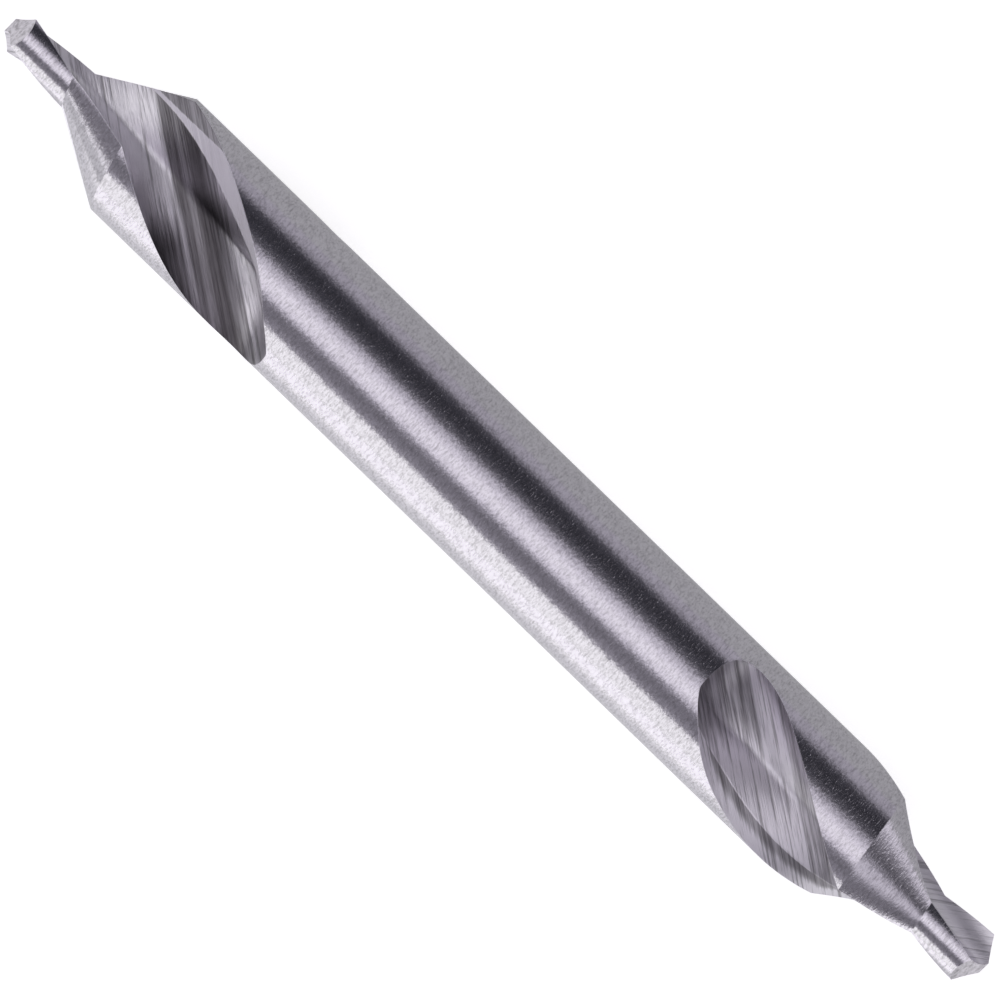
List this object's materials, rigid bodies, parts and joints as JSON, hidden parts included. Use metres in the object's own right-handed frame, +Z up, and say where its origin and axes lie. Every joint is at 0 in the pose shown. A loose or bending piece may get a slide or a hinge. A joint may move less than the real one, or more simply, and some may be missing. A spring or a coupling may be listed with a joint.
{
  "type": "centre drill",
  "caption": "Double-ended centre drill: a round steel body with a fluted pilot and a 60 degree countersink at each end.",
  "frame": {"origin": "middle of the drill, on its axis", "axes": "+X along the axis towards the far point, +Z up, square to the plane in which the picture shows the drill"},
  "size_m": [0.0354, 0.004, 0.004],
  "materials": {
    "ground_steel": "fine ground high-speed steel, bright, with grinding lines"
  },
  "bodies": {
    "root": {"centre_drill": "ground_steel"}
  },
  "joints": []
}
